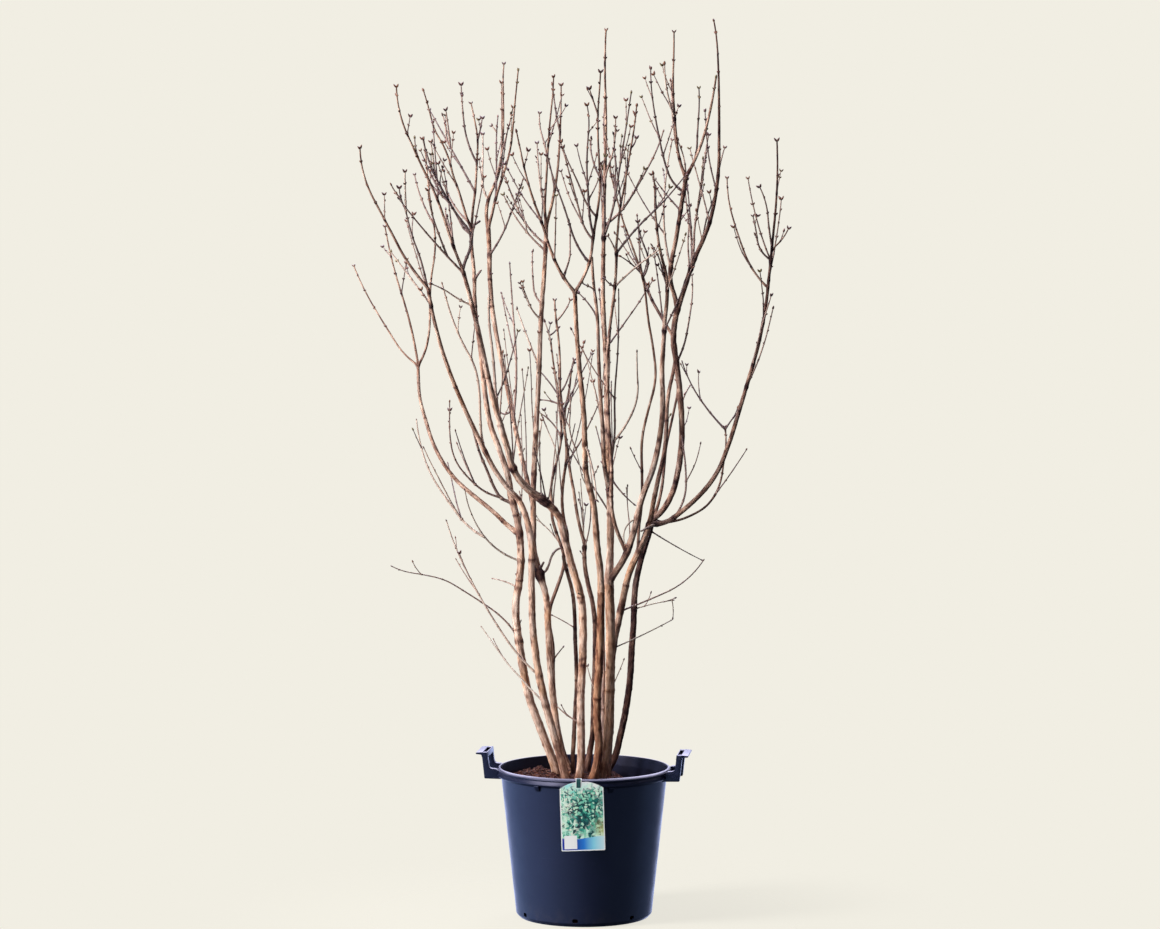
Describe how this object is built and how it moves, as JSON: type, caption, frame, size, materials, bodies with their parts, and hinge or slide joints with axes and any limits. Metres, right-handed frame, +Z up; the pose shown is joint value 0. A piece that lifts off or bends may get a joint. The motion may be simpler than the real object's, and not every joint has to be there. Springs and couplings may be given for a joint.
{
  "type": "potted lilac shrub",
  "caption": "Multi-stem lilac shrub in winter, bare of leaves, rising and spreading from a round dark nursery pot with lifting handles and a picture label hung on its rim.",
  "frame": {"origin": "centre of the flat underside of the pot, on the surface the pot stands on", "axes": "+Z up along the shrub's height, -Y towards the side the label hangs on, +X to the right seen from that side"},
  "size_m": [1.0067, 0.8273, 2.0491],
  "materials": {
    "bark": "matte",
    "bark_dark": "matte",
    "plastic": "satin",
    "soil": "matte",
    "card": "satin"
  },
  "bodies": {
    "root": {"pot": "plastic", "handle_left": "plastic", "handle_right": "plastic", "soil": "soil", "label": "card", "stem_1": "bark", "stem_2": "bark", "stem_3": "bark", "stem_4": "bark", "stem_5": "bark", "stem_6": "bark", "stem_7": "bark", "stem_8": "bark", "stem_9": "bark", "stem_10": "bark_dark", "stem_11": "bark_dark", "bough_left_1": "bark", "bough_left_2": "bark", "bough_left_4": "bark", "bough_left_5": "bark", "bough_left_6": "bark", "bough_left_7": "bark", "bough_left_8": "bark", "crown_left_1": "bark", "crown_left_2": "bark", "crown_left_3": "bark", "crown_left_4": "bark", "crown_left_6": "bark", "crown_left_7": "bark", "crown_left_8": "bark", "crown_left_9": "bark", "bough_mid_1": "bark", "bough_mid_2": "bark", "bough_mid_3": "bark", "bough_mid_4": "bark", "bough_mid_5": "bark", "bough_mid_6": "bark", "bough_mid_7": "bark", "bough_mid_8": "bark", "trunk_1": "bark", "bough_mid_9": "bark", "bough_right_1": "bark", "bough_mid_10": "bark", "bough_mid_11": "bark", "bough_right_2": "bark", "bough_right_3": "bark", "bough_right_4": "bark", "bough_right_5": "bark", "bough_right_6": "bark", "bough_right_7": "bark", "bough_right_8": "bark", "bough_right_9": "bark", "bough_right_10": "bark", "bough_right_11": "bark", "bough_right_12": "bark", "bough_right_13": "bark", "bough_right_14": "bark", "bough_right_15": "bark", "crown_left_10": "bark", "bough_right_17": "bark"}
  },
  "joints": []
}
